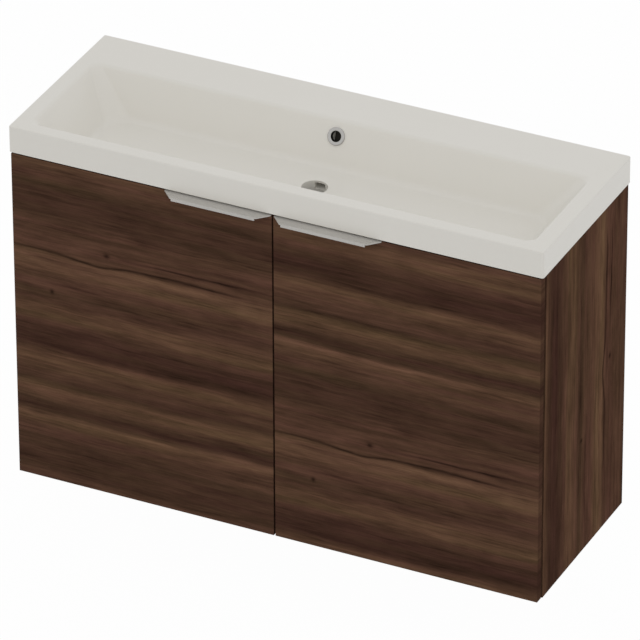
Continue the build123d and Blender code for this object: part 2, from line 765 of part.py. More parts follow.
for name, side in SIDES.items():
    for level, hinge_z in HEIGHTS.items():
        with BuildPart() as cup:
            rod((side * cup_x, cup_floor_y, hinge_z), (0, 1, 0), cup_radius, cup_depth)
            for step in (-1, 1):
                block(
                    (side * (cup_screw_x - cup_lug_width / 2), side * (cup_screw_x + cup_lug_width / 2)),
                    (door_back_y, door_back_y + cup_lug_thickness),
                    (hinge_z + step * cup_lug_start, hinge_z + step * cup_lug_length),
                )
            rod(
                (side * cup_x, cup_floor_y + cup_wall, hinge_z),
                (0, 1, 0),
                cup_radius - cup_wall,
                cup_depth,
                Mode.SUBTRACT,
            )
            pin_bar(
                side,
                cup_pin_from_edge,
                cup_pin_from_front,
                hinge_pin_radius,
                hinge_z,
                cup_radius,
                Mode.SUBTRACT,
            )
            for step in (-cup_screw_spacing / 2, cup_screw_spacing / 2):
                rod(
                    (side * cup_screw_x, door_back_y, hinge_z + step),
                    (0, 1, 0),
                    cup_screw_radius + fitting_clearance,
                    cup_lug_thickness,
                    Mode.SUBTRACT,
                )
        save(cup, f"hinge_cup_{name}_{level}")

        with BuildPart() as lever:
            path = [
                place(side, cup_pin_from_edge, cup_pin_from_front),
                place(side, lever_hook_near, lever_hook_depth),
                place(side, lever_hook_far, lever_hook_depth),
                place(side, arm_pin_from_edge, arm_pin_from_front),
            ]
            with BuildSketch(Plane.XY.offset(hinge_z - lever_half_width)):
                with BuildLine():
                    Polyline(*path)
                trace(line_width=lever_thickness)
                with Locations(path[1], path[2]):
                    Circle(lever_thickness / 2)
                with Locations(path[0], path[3]):
                    Circle(lever_eye_radius)
                with Locations(path[0], path[3]):
                    Circle(hinge_pin_radius + pin_running_clearance, mode=Mode.SUBTRACT)
            extrude(amount=2 * lever_half_width)
        save(lever, f"hinge_lever_{name}_{level}")

        with BuildPart() as arm:
            for low in (-arm_half, cheek_inner):
                with BuildSketch(Plane.XY.offset(hinge_z + low)):
                    with Locations(place(side, arm_pin_from_edge, arm_pin_from_front)):
                        Circle(arm_nose_radius)
                    for from_edge in (arm_nose_low + arm_edge_round, arm_nose_high - arm_edge_round):
                        with Locations(place(side, from_edge, arm_straight_from_front)):
                            Circle(arm_edge_round)
                    make_hull()
                    with Locations(
                        place(
                            side,
                            (arm_nose_low + arm_nose_high) / 2,
                            (arm_straight_from_front + arm_back_from_front) / 2,
                        )
                    ):
                        Rectangle(arm_high - arm_low, arm_back_from_front - arm_straight_from_front)
                extrude(amount=arm_cheek)
            across(
                side,
                (arm_nose_high - arm_web, arm_nose_high),
                (arm_straight_from_front, arm_back_from_front),
                (hinge_z - arm_half, hinge_z + arm_half),
            )
            pin_bar(
                side,
                arm_pin_from_edge,
                arm_pin_from_front,
                hinge_pin_radius,
                hinge_z,
                arm_half,
                Mode.SUBTRACT,
            )
            x, y = place(side, arm_nose_high - arm_web, arm_lock_from_front)
            lock_hole = arm_lock_radius + fitting_clearance
            rod((x, y, hinge_z), (-side, 0, 0), lock_hole, arm_web, Mode.SUBTRACT)
        save(arm, f"hinge_arm_{name}_{level}")

        with BuildPart() as plate:
            wing = plate_wing_height / 2
            across(
                side,
                (side_from_edge, side_from_edge + plate_base),
                (
                    hinge_plate_y - front_y - plate_wing_width / 2,
                    hinge_plate_y - front_y + plate_wing_width / 2,
                ),
                (hinge_z - wing, hinge_z + wing),
            )
            rail_front = arm_back_from_front - plate_rail_length
            across(
                side,
                (side_from_edge, side_from_edge + plate_rail_height),
                (rail_front, arm_back_from_front),
                (hinge_z - plate_rail_half_width, hinge_z + plate_rail_half_width),
            )
            for step in (-plate_screw_spacing / 2, plate_screw_spacing / 2):
                rod(
                    (side * side_inner_x, hinge_plate_y, hinge_z + step),
                    (-side, 0, 0),
                    plate_screw_radius + fitting_clearance,
                    plate_base,
                    Mode.SUBTRACT,
                )
            x, y = place(side, side_from_edge + plate_rail_height, arm_lock_from_front)
            lock_hole = arm_lock_radius + fitting_clearance
            rod((x, y, hinge_z), (side, 0, 0), lock_hole, arm_lock_bite, Mode.SUBTRACT)
        save(plate, f"hinge_plate_{name}_{level}")

    with BuildPart() as cup_pins:
        for hinge_z in HEIGHTS.values():
            pin_bar(side, cup_pin_from_edge, cup_pin_from_front, hinge_pin_radius, hinge_z, cup_pin_half)
    save(cup_pins, f"cup_pins_{name}")

    with BuildPart() as arm_pins:
        for hinge_z in HEIGHTS.values():
            pin_bar(side, arm_pin_from_edge, arm_pin_from_front, hinge_pin_radius, hinge_z, arm_half)
    save(arm_pins, f"arm_pins_{name}")

    with BuildPart() as cup_screws:
        for hinge_z in HEIGHTS.values():
            for step in (-cup_screw_spacing / 2, cup_screw_spacing / 2):
                head_y = door_back_y + cup_lug_thickness
                head_point = (side * cup_screw_x, head_y, hinge_z + step)
                rod(head_point, (0, 1, 0), cup_screw_head_radius, cup_screw_head_height)
                rod(head_point, (0, -1, 0), cup_screw_radius, cup_screw_length)
    save(cup_screws, f"cup_screws_{name}")

with BuildPart() as plate_screws:
    for side in SIDES.values():
        for hinge_z in HEIGHTS.values():
            for step in (-plate_screw_spacing / 2, plate_screw_spacing / 2):
                head_x = side * (side_inner_x - plate_base)
                head_point = (head_x, hinge_plate_y, hinge_z + step)
                rod(head_point, (-side, 0, 0), plate_screw_head_radius, plate_screw_head_height)
                rod(head_point, (side, 0, 0), plate_screw_radius, plate_screw_length)
save(plate_screws, "hinge_plate_screws")

with BuildPart() as arm_screws:
    for side in SIDES.values():
        for hinge_z in HEIGHTS.values():
            x, y = place(side, arm_nose_high, arm_lock_from_front)
            rod((x, y, hinge_z), (-side, 0, 0), arm_lock_head_radius, arm_lock_head_height)
            rod((x, y, hinge_z), (side, 0, 0), arm_lock_radius, arm_lock_bite)
save(arm_screws, "hinge_arm_screws")

# Hanging gear
for name, side in SIDES.items():
    hanger_inner_x = side_inner_x - hanger_width
    hook_front_y = hanger_front_y + hanger_wall
    hook_tang_y = back_panel_front_y - hanger_wall
    nose_rear_y = wall_y - wall_plate_sheet - hook_nose_gap
    with BuildPart() as hanger:
        block(
            (side * side_inner_x, side * hanger_inner_x),
            (hanger_front_y, back_panel_front_y),
            (hanger_low, hanger_high),
        )
        block(
            (side * (side_inner_x - hanger_wall), side * (hanger_inner_x + hanger_wall)),
            (hanger_front_y, hook_tang_y),
            (hanger_low + hanger_wall, hanger_high - hanger_wall),
            Mode.SUBTRACT,
        )
        block(
            (side * hanger_x - slot_half, side * hanger_x + slot_half),
            (hook_tang_y, back_panel_front_y),
            hook_slot,
            Mode.SUBTRACT,
        )
        for z in hanger_screw_zs:
            rod(
                (side * side_inner_x, hanger_screw_y, z),
                (-side, 0, 0),
                hanger_screw_radius + fitting_clearance,
                hanger_wall,
                Mode.SUBTRACT,
            )
    save(hanger, f"hanger_{name}")

    with BuildPart() as hook:
        hook_xs = (side * hanger_x - hook_thickness / 2, side * hanger_x + hook_thickness / 2)
        block(hook_xs, (hook_front_y, nose_rear_y), (hook_low_z, hook_high_z))
        block(
            hook_xs,
            (nose_rear_y - hook_nose_thickness, nose_rear_y),
            (hook_low_z - hook_nose_drop, hook_high_z),
        )
        block(hook_xs, (hook_front_y, hook_tang_y), (hook_low_z - hook_height, hook_high_z + hook_height))
    save(hook, f"hanger_hook_{name}")

    with BuildPart() as cover:
        block(
            (side * side_inner_x, side * hanger_inner_x),
            (hanger_front_y - cover_thickness, hanger_front_y),
            (hanger_low, hanger_high),
        )
        fillet(cover.faces().sort_by(Axis.Y)[0].edges(), cover_thickness / 2)
    save(cover, f"hanger_cover_{name}")

    with BuildPart() as wall_plate:
        plate_xs = (side * hanger_x - wall_plate_width / 2, side * hanger_x + wall_plate_width / 2)
        lip_xs = (side * hanger_x - wall_plate_lip_width / 2, side * hanger_x + wall_plate_lip_width / 2)
        block(plate_xs, (wall_y - wall_plate_sheet, wall_y), (-wall_plate_low, wall_plate_high))
        block(
            lip_xs,
            (wall_y - wall_plate_lip_reach, wall_y - wall_plate_sheet),
            (wall_plate_lip_z, wall_plate_lip_z + wall_plate_sheet),
        )
        block(
            lip_xs,
            (wall_y - wall_plate_lip_reach, wall_y - wall_plate_lip_reach + wall_plate_sheet),
            (wall_plate_lip_z, hook_low_z),
        )
        for z in (-wall_hole_spacing / 2, wall_hole_spacing / 2):
            rod((side * hanger_x, wall_y, z), (0, -1, 0), wall_hole_radius, wall_plate_sheet, Mode.SUBTRACT)
    save(wall_plate, f"wall_plate_{name}")

with BuildPart() as hanger_screws:
    for side in SIDES.values():
        for z in hanger_screw_zs:
            head_point = (side * (side_inner_x - hanger_wall), hanger_screw_y, z)
            rod(head_point, (-side, 0, 0), hanger_screw_head_radius, hanger_screw_head_height)
            rod(head_point, (side, 0, 0), hanger_screw_radius, hanger_screw_length)
save(hanger_screws, "hanger_screws")
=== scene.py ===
"""Looks of a wall-hung vanity unit with basin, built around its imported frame, in metres.

+X is right, +Y is towards the wall and +Z is up. The origin is on the wall plane, at the centre of
the four wall fixing holes.
"""
import json
import logging
import math
from collections.abc import Iterable, Sequence
from dataclasses import dataclass
from enum import Enum

import bmesh
import bpy
from mathutils import Matrix, Vector

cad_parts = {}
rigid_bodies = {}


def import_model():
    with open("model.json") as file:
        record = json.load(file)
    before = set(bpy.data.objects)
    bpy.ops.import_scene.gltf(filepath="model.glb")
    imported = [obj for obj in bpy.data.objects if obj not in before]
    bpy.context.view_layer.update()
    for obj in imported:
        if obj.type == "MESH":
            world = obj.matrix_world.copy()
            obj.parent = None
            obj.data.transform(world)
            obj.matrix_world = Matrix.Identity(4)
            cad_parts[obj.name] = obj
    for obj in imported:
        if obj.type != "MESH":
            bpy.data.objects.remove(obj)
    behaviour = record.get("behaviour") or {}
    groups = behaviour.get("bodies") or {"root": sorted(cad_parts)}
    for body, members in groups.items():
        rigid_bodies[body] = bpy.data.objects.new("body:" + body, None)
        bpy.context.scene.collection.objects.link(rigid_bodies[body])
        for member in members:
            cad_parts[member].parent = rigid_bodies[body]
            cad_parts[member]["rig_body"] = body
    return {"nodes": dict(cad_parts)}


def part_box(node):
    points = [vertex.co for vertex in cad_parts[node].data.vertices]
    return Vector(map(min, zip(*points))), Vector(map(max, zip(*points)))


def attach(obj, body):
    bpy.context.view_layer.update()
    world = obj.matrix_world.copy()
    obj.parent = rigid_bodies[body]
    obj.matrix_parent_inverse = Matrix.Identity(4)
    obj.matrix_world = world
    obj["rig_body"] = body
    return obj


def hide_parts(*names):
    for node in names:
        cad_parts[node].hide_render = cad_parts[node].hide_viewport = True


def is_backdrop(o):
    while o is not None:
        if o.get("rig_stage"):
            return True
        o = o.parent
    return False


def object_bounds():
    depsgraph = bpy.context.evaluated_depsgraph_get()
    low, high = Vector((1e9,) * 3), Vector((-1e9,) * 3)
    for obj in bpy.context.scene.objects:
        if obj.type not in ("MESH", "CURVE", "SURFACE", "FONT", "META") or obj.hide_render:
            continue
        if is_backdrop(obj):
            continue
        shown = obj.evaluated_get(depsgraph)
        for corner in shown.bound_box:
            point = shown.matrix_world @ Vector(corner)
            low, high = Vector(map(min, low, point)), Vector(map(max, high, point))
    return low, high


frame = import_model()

log = logging.getLogger("vanity")
Colour = tuple[float, float, float, float]


def paint(red: int, green: int, blue: int) -> Colour:
    """Give a colour, written as it looks on a screen from 0 to 255, as the linear colour of a shader.

    Args:
        red: Red as shown.
        green: Green as shown.
        blue: Blue as shown.

    Returns:
        The linear red, green, blue and alpha.
    """
    def linear(shown: int) -> float:
        """Undo the screen's curve for one channel."""
        share = shown / 255
        return share / 12.92 if share <= 0.04045 else ((share + 0.055) / 1.055) ** 2.4

    return (linear(red), linear(green), linear(blue), 1.0)


class Value:
    """A number or vector on a node's socket, with arithmetic that adds Math nodes to its recipe."""

    def __init__(self, recipe: "Recipe", socket: bpy.types.NodeSocket) -> None:
        """Wrap an output socket of a recipe."""
        self.recipe = recipe
        self.socket = socket

    def _math(self, operation: str, *terms: "Value | float") -> "Value":
        """Add one Math node and give its result."""
        inputs = dict(enumerate(terms))
        return self.recipe.node("ShaderNodeMath", {"operation": operation}, inputs)

    def __add__(self, other: "Value | float") -> "Value":
        """Add."""
        return self._math("ADD", self, other)

    __radd__ = __add__

    def __sub__(self, other: "Value | float") -> "Value":
        """Subtract."""
        return self._math("SUBTRACT", self, other)

    def __rsub__(self, other: "Value | float") -> "Value":
        """Subtract this from another value."""
        return self._math("SUBTRACT", other, self)

    def __mul__(self, other: "Value | float") -> "Value":
        """Multiply."""
        return self._math("MULTIPLY", self, other)

    def __truediv__(self, other: "Value | float") -> "Value":
        """Divide."""
        return self._math("DIVIDE", self, other)

    def __neg__(self) -> "Value":
        """Change the sign."""
        return self._math("MULTIPLY", self, -1.0)

    def __abs__(self) -> "Value":
        """Drop the sign."""
        return self._math("ABSOLUTE", self)

    def fraction(self) -> "Value":
        """Give what is left after whole numbers are taken off."""
        return self._math("FRACT", self)

    def bump_shape(self, centre: float, width: float) -> "Value":
        """Give a smooth hill that is 1 at a centre and falls off over a width."""
        return self.recipe.bell((self - centre) / width)


class Recipe:
    """The node tree of one material or world, filled by one node-making method."""

    def __init__(self, owner: bpy.types.Material | bpy.types.World) -> None:
        """Empty the owner's node tree."""
        owner.use_nodes = True
        self.tree = owner.node_tree
        self.tree.nodes.clear()

    def node(
        self,
        kind: str,
        settings: dict[str, object] | None = None,
        inputs: dict[str | int, object] | None = None,
        output: str | int = 0,
    ) -> Value:
        """Add a node, with its settings first, then the values and links of its sockets.

        Args:
            kind: The node's type.
            settings: Attributes of the node; "stops" are a ramp's positions and colours.
            inputs: Values or links by socket name or number.
            output: The name or number of the output to give back.

        Returns:
            The chosen output.
        """
        made = self.tree.nodes.new(kind)
        for name, setting in (settings or {}).items():
            if name == "stops":
                self._fill_ramp(made.color_ramp, setting)
            else:
                setattr(made, name, setting)
        for name, value in (inputs or {}).items():
            if isinstance(value, Value):
                self.tree.links.new(value.socket, made.inputs[name])
            else:
                made.inputs[name].default_value = value
        outputs = made.outputs
        return Value(self, outputs[output]) if len(outputs) else Value(self, made.inputs[0])

    @staticmethod
    def _fill_ramp(ramp: bpy.types.ColorRamp, stops: Sequence[tuple[float, Colour]]) -> None:
        """Give a ramp its stops, in rising order."""
        while len(ramp.elements) < len(stops):
            ramp.elements.new(1.0)
        for element, (position, colour) in zip(ramp.elements, stops):
            element.position = position
            element.color = colour

    def place(self) -> tuple[Value, Value, Value]:
        """Give the x, y and z of the shaded point in the row frame."""
        point = self.node("ShaderNodeTexCoord", output="Object")
        return self.split(point)

    def facing(self) -> tuple[Value, Value, Value]:
        """Give the x, y and z of the surface's own direction."""
        return self.split(self.node("ShaderNodeTexCoord", output="Normal"))

    def split(self, vector: Value) -> tuple[Value, Value, Value]:
        """Split a vector into its three numbers."""
        parts = self.node("ShaderNodeSeparateXYZ", inputs={0: vector})
        sockets = parts.socket.node.outputs
        return Value(self, sockets[0]), Value(self, sockets[1]), Value(self, sockets[2])

    def noise(self, x: Value | float, y: Value | float, z: Value | float = 0.0, detail: float = 2.0,
              rough: float = 0.5) -> Value:
        """Give smooth noise about 0, from -0.5 to 0.5, at a point given by three numbers."""
        point = self.node("ShaderNodeCombineXYZ", inputs={0: x, 1: y, 2: z})
        grain = self.node(
            "ShaderNodeTexNoise",
            {"noise_dimensions": "3D"},
            {"Vector": point, "Scale": 1.0, "Detail": detail, "Roughness": rough},
        )
        return grain - 0.5

    def bell(self, distance: Value) -> Value:
        """Give exp(-distance squared)."""
        return self.node(
            "ShaderNodeMath", {"operation": "EXPONENT"}, {0: -(distance * distance)}
        )

    def clamp(self, value: Value, low: float = 0.0, high: float = 1.0) -> Value:
        """Keep a value between two limits."""
        return self.node("ShaderNodeClamp", inputs={0: value, 1: low, 2: high})

    def blend(self, share: Value | float, first: Value | Colour, second: Value | Colour,
              kind: str = "MIX") -> Value:
        """Mix two colours by a share from 0 to 1."""
        return self.node(
            "ShaderNodeMix",
            {"data_type": "RGBA", "blend_type": kind},
            {0: share, 6: first, 7: second},
            output=2,
        )

    def grey(self, level: Value) -> Value:
        """Turn a number into a grey colour."""
        return self.node("ShaderNodeCombineColor", inputs={0: level, 1: level, 2: level})

    def relief(self, height: Value, depth: float, strength: float = 1.0) -> Value:
        """Turn a height into a bump of a depth in metres."""
        return self.node(
            "ShaderNodeBump", inputs={"Height": height, "Distance": depth, "Strength": strength}
        )

    def surface(self, inputs: dict[str | int, object]) -> None:
        """Finish a material with one Principled shader."""
        shader = self.node("ShaderNodeBsdfPrincipled", inputs=inputs)
        self.node("ShaderNodeOutputMaterial", inputs={"Surface": shader})


class Grain(Enum):
    """The way that a board's grain runs."""

    ACROSS_FRONT = "horizontal, on a face that looks forwards"
    UP_SIDE = "vertical, on a face that looks sideways"
    ALONG_SHELF = "horizontal, on a face that looks up"


class Tone(Enum):
    """The walnut decor's browns, a little lighter than the studio's light shows them."""

    DUSK = paint(63, 43, 35)
    UMBER = paint(68, 48, 38)
    OLIVE = paint(71, 52, 40)
    RUSSET = paint(81, 58, 46)
    HAZEL = paint(90, 67, 51)
    HONEY = paint(99, 74, 57)
    VEIN = paint(35, 24, 18)


# The print repeats across the sheet, whose places are heights in metres on the left door
DECOR_REPEAT = 0.517
DECOR_TOP = 0.152
BAND_DRIFT = 0.012
SHADE_SHARE = 0.55
EDGE_SHARE = 0.45
COOL_TINT: Colour = (0.97, 1.02, 0.94, 1.0)
WARM_TINT: Colour = (1.05, 0.97, 1.04, 1.0)

DECOR_BANDS: tuple[tuple[float, Tone], ...] = (
    (0.000, Tone.HAZEL),
    (0.030, Tone.RUSSET),
    (0.060, Tone.RUSSET),
    (0.082, Tone.OLIVE),
    (0.165, Tone.UMBER),
    (0.200, Tone.OLIVE),
    (0.228, Tone.RUSSET),
    (0.340, Tone.RUSSET),
    (0.362, Tone.HONEY),
    (0.388, Tone.HONEY),
    (0.412, Tone.HAZEL),
    (0.440, Tone.RUSSET),
    (0.482, Tone.RUSSET),
    (0.500, Tone.OLIVE),
    (0.528, Tone.RUSSET),
    (0.556, Tone.HAZEL),
    (0.590, Tone.HAZEL),
    (0.615, Tone.RUSSET),
    (0.640, Tone.UMBER),
    (0.690, Tone.DUSK),
    (0.718, Tone.UMBER),
    (0.742, Tone.HAZEL),
    (0.765, Tone.HAZEL),
    (0.800, Tone.RUSSET),
    (0.845, Tone.OLIVE),
    (0.870, Tone.HAZEL),
    (0.898, Tone.HAZEL),
    (0.925, Tone.OLIVE),
    (0.945, Tone.DUSK),
    (0.965, Tone.OLIVE),
    (0.985, Tone.HONEY),
    (1.000, Tone.HAZEL),
)


@dataclass(frozen=True)
class Knot:
    """A small eye or a soft patch in the decor, by its place along and across the sheet, and its size."""

    along: float
    across: float
    length: float
    height: float

    def mark(self, along: Value, lane: Value) -> Value:
        """Give a soft round spot that is 1 at the knot's middle."""
        return along.bump_shape(self.along, self.length) * lane.bump_shape(self.across, self.height)


DECOR_KNOTS = (Knot(0.180, -0.007, 0.0060, 0.0045), Knot(0.073, -0.104, 0.0040, 0.0045))
FRONT_SHADES = (
    Knot(0.130, -0.190, 0.030, 0.020),
    Knot(0.290, -0.208, 0.090, 0.007),
    Knot(0.415, -0.185, 0.045, 0.010),
    Knot(0.325, -0.283, 0.060, 0.006),
    Knot(0.280, -0.116, 0.090, 0.005),
)
SIDE_SHADES = (
    Knot(0.220, -0.201, 0.300, 0.011),
    Knot(0.120, -0.111, 0.180, 0.009),
    Knot(-0.030, -0.190, 0.050, 0.016),
    Knot(-0.060, -0.020, 0.060, 0.022),
    Knot(0.330, -0.150, 0.070, 0.007),
)


@dataclass(frozen=True)
class Vein:
    """A dark line in the decor, by its lane and width across the sheet and its ends along it."""

    lane: float
    width: float
    start: float
    end: float
    start_fade: float
    unsteady: float
    dips: bool = False


DECOR_VEINS = (
    Vein(-0.0245, 0.0030, start=-0.05, end=0.445, start_fade=16.0, unsteady=0.002, dips=True),
    Vein(-0.0075, 0.0021, start=0.20, end=0.46, start_fade=9.0, unsteady=0.003),
)
VEIN_DIP = Knot(0.165, 0.0, 0.045, -0.007)
VEIN_END_FADE = 16.0
INK_SHARE = 0.8


@dataclass(frozen=True)
class Streak:
    """One layer of streaks, by how often it changes along and across the sheet, and its strength."""

    along: float
    across: float
    strength: float
    detail: float
    rough: float = 0.5
    offset: float = 0.0


DECOR_LEVEL = 1.28
DECOR_STREAKS = (
    Streak(4.0, 95.0, 1.55, 4.0, 0.6),
    Streak(15.0, 380.0, 0.95, 3.0, 0.6),
    Streak(60.0, 1300.0, 0.5, 2.0),
    Streak(11.0, 46.0, 1.35, 4.0, 0.6, offset=4.0),
)


@dataclass(frozen=True)
class Walnut:
    """Walnut laminate, cut from one printed sheet with bands, streaks, a dark vein and two eyes."""

    name: str
    grain: Grain
    along_shift: float = 0.0
    across_shift: float = 0.0
    stretch: float = 1.0
    # Painted light: scales the decor's level for boards that face another way, to match how the light falls
    # on them.
    painted_light_scale: float = 1.0
    shades: tuple[Knot, ...] = FRONT_SHADES

    def material(self) -> bpy.types.Material:
        """Make the board's material."""
        owner = bpy.data.materials.new(self.name)
        recipe = Recipe(owner)
        x, y, z = recipe.place()
        if self.grain is Grain.ACROSS_FRONT:
            along, across, through = x, z, y
        elif self.grain is Grain.UP_SIDE:
            along, across, through = z, y, x
        else:
            along, across, through = x, y, z
        along = along + self.along_shift
        across = across / self.stretch + self.across_shift
        lane = across + self._wander(recipe, along, across, through)
        colour = self._bands(recipe, along, lane, through)
        colour = self._streaks(recipe, colour, along, lane, through)
        colour = self._vein(recipe, colour, along, lane)
        facing = recipe.facing()
        face = {Grain.ACROSS_FRONT: facing[1], Grain.UP_SIDE: facing[0], Grain.ALONG_SHELF: facing[2]}
        edge = 1.0 - recipe.clamp(abs(face[self.grain]) * 1.4)
        colour = recipe.blend(edge * EDGE_SHARE, colour, Tone.DUSK.value)
        pores = recipe.noise(along * 90.0, lane * 1500.0, through * 90.0, 2.0)
        streaks = recipe.noise(along * 9.0, lane * 420.0, through * 9.0, 2.0)
        recipe.surface({
            "Base Color": colour,
            "Roughness": 0.46 + streaks * 0.10,
            "Specular IOR Level": 0.0,
            "Normal": recipe.relief(pores * 0.6 + streaks, 0.00025, 0.35),
        })
        return owner

    def _wander(self, recipe: Recipe, along: Value, across: Value, through: Value) -> Value:
        """Give how far the grain strays from straight lines."""
        slow = recipe.noise(along * 2.2 + 3.0, across * 9.0, through * 2.0, 2.0)
        quick = recipe.noise(along * 13.0, across * 46.0, through * 13.0, 3.0)
        return slow * 0.010 + quick * 0.0062

    def _bands(self, recipe: Recipe, along: Value, lane: Value, through: Value) -> Value:
        """Give the colour of the broad bands."""
        drift = recipe.noise(along * 1.7, lane * 38.0, through * 1.7 + 7.0, 3.0)
        share = ((DECOR_TOP - lane + drift * BAND_DRIFT) / DECOR_REPEAT).fraction()
        stops = [(place, tone.value) for place, tone in DECOR_BANDS]
        bands = recipe.node("ShaderNodeValToRGB", {"stops": stops}, {"Fac": share})
        spots = [patch.mark(along, lane) for patch in self.shades]
        shade = recipe.clamp(sum(spots[1:], spots[0]))
        return recipe.blend(shade * SHADE_SHARE, bands, Tone.DUSK.value)

    def _streaks(self, recipe: Recipe, colour: Value, along: Value, lane: Value, through: Value) -> Value:
        """Lay broad, fine and hair-fine streaks and soft patches over the bands."""
        level = DECOR_LEVEL
        for streak in DECOR_STREAKS:
            depth = through * streak.along + streak.offset
            figure = recipe.noise(
                along * streak.along, lane * streak.across, depth, streak.detail, streak.rough
            )
            level = level + figure * streak.strength
        # Painted light: the board's own scale for how the light falls on its face.
        level = level * self.painted_light_scale
        colour = recipe.blend(1.0, colour, recipe.grey(level), "MULTIPLY")
        warm = recipe.clamp(recipe.noise(along * 3.0 + 9.0, lane * 60.0, through * 3.0, 3.0) * 2.4 + 0.5)
        tint = recipe.blend(warm, COOL_TINT, WARM_TINT)
        return recipe.blend(1.0, colour, tint, "MULTIPLY")

    def _vein(self, recipe: Recipe, colour: Value, along: Value, lane: Value) -> Value:
        """Draw the dark vein, its upper branch and the two eyes."""
        dip = along.bump_shape(VEIN_DIP.along, VEIN_DIP.length) * VEIN_DIP.height
        rough = recipe.noise(along * 24.0, lane * 60.0, 0.0, 3.0)
        strength = recipe.clamp(1.0 + recipe.noise(along * 17.0, lane * 90.0, 5.0, 3.0) * 1.6)
        marks = []
        for vein in DECOR_VEINS:
            beside = lane - dip if vein.dips else lane
            line = recipe.bell((beside - vein.lane + rough * vein.unsteady) / vein.width)
            start = recipe.clamp((along - vein.start) * vein.start_fade)
            end = recipe.clamp((vein.end - along) * VEIN_END_FADE)
            marks.append(line * end * start * strength)
        marks += [knot.mark(along, lane) for knot in DECOR_KNOTS]
        ink = recipe.clamp(sum(marks[1:], marks[0]))
        return recipe.blend(ink * INK_SHARE, colour, Tone.VEIN.value)


@dataclass(frozen=True)
class Glaze:
    """Glossy white cast mineral with a thin clear skin."""

    name: str = "white_glaze"
    white: Colour = paint(242, 239, 232)

    def material(self) -> bpy.types.Material:
        """Make the basin's material."""
        owner = bpy.data.materials.new(self.name)
        recipe = Recipe(owner)
        x, y, z = recipe.place()
        cloud = recipe.noise(x * 6.0, y * 6.0, z * 6.0, 3.0)
        cream = recipe.blend(recipe.clamp(cloud + 0.5), self.white, paint(240, 237, 229))
        ripple = recipe.noise(x * 26.0, y * 26.0, z * 26.0, 2.0)
        recipe.surface({
            "Base Color": cream,
            "Roughness": 0.30 + cloud * 0.06,
            "Specular IOR Level": 0.32,
            "Coat Weight": 0.10,
            "Coat Roughness": 0.08,
            "Normal": recipe.relief(ripple, 0.0004, 0.12),
        })
        return owner


@dataclass(frozen=True)
class RawShadedCasting:
    """The rough, unglazed inside of the overflow duct, its dark grey partly painted shade deep in the recess.
    """

    name: str = "raw_casting_painted_shade"

    def material(self) -> bpy.types.Material:
        """Make the duct's material."""
        owner = bpy.data.materials.new(self.name)
        recipe = Recipe(owner)
        x, y, z = recipe.place()
        grit = recipe.noise(x * 500.0, y * 500.0, z * 500.0, 3.0)
        recipe.surface({
            # Painted shade in part: these dark greys stand for the shade inside the duct as well as the raw
            # casting.
            "Base Color": recipe.blend(recipe.clamp(grit + 0.5), paint(59, 57, 53), paint(83, 80, 74)),
            "Roughness": 0.85 + grit * 0.1,
            "Specular IOR Level": 0.1,
            "Normal": recipe.relief(grit, 0.0003, 0.6),
        })
        return owner


@dataclass(frozen=True)
class Metal:
    """A metal finish with fine lines or grains and slight changes of gloss."""

    name: str
    colour: Colour
    rough: float
    lines: tuple[float, float, float] = (400.0, 400.0, 400.0)
    depth: float = 0.00004
    metallic: float = 1.0

    def material(self) -> bpy.types.Material:
        """Make the metal's material."""
        owner = bpy.data.materials.new(self.name)
        recipe = Recipe(owner)
        x, y, z = recipe.place()
        lines = recipe.noise(x * self.lines[0], y * self.lines[1], z * self.lines[2], 3.0)
        cloud = recipe.noise(x * 14.0, y * 14.0, z * 14.0, 2.0)
        darker = tuple(channel * 0.88 for channel in self.colour[:3]) + (1.0,)
        tint = recipe.blend(recipe.clamp(lines + cloud + 0.5), darker, self.colour)
        recipe.surface({
            "Base Color": tint,
            "Metallic": self.metallic,
            "Roughness": recipe.clamp(self.rough + lines * 0.08 + cloud * 0.08, 0.03, 1.0),
            "Normal": recipe.relief(lines, self.depth, 0.5),
        })
        return owner


@dataclass(frozen=True)
class Moulded:
    """Moulded plastic with a fine spark-eroded texture."""

    name: str
    colour: Colour
    rough: float = 0.5

    def material(self) -> bpy.types.Material:
        """Make the plastic's material."""
        owner = bpy.data.materials.new(self.name)
        recipe = Recipe(owner)
        x, y, z = recipe.place()
        grains = recipe.noise(x * 900.0, y * 900.0, z * 900.0, 2.0)
        cloud = recipe.noise(x * 30.0, y * 30.0, z * 30.0, 2.0)
        darker = tuple(channel * 0.9 for channel in self.colour[:3]) + (1.0,)
        recipe.surface({
            "Base Color": recipe.blend(recipe.clamp(cloud + 0.5), darker, self.colour),
            "Roughness": self.rough + grains * 0.12,
            "Normal": recipe.relief(grains, 0.00005, 0.5),
        })
        return owner


@dataclass(frozen=True)
class Beech:
    """Pale turned beech with short darker flecks along the dowel."""

    name: str = "dowel_beech"

    def material(self) -> bpy.types.Material:
        """Make the dowels' material."""
        owner = bpy.data.materials.new(self.name)
        recipe = Recipe(owner)
        x, y, z = recipe.place()
        flecks = recipe.noise(x * 160.0, y * 900.0, z * 900.0, 3.0)
        recipe.surface({
            "Base Color": recipe.blend(
                recipe.clamp(flecks * 1.5 + 0.5), paint(198, 154, 108), paint(233, 194, 145)
            ),
            "Roughness": 0.62 + flecks * 0.1,
            "Normal": recipe.relief(flecks, 0.0001, 0.5),
        })
        return owner


def new_piece(name: str, mesh: bmesh.types.BMesh, body: str,
              material: bpy.types.Material, replaced: str) -> bpy.types.Object:
    """Turn a finished bmesh into a piece that rides on a body in place of a node.

    Args:
        name: The piece's name.
        mesh: Its finished mesh, which is freed.
        body: The body that it rides on.
        material: Its material.
        replaced: The node that it stands for.

    Returns:
        The new piece.
    """
    data = bpy.data.meshes.new(name)
    mesh.to_mesh(data)
    mesh.free()
    piece = bpy.data.objects.new(name, data)
    bpy.context.scene.collection.objects.link(piece)
    data.materials.append(material)
    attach(piece, body)
    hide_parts(replaced)
    log.info("piece %s rides on %s in place of %s", name, body, replaced)
    return piece


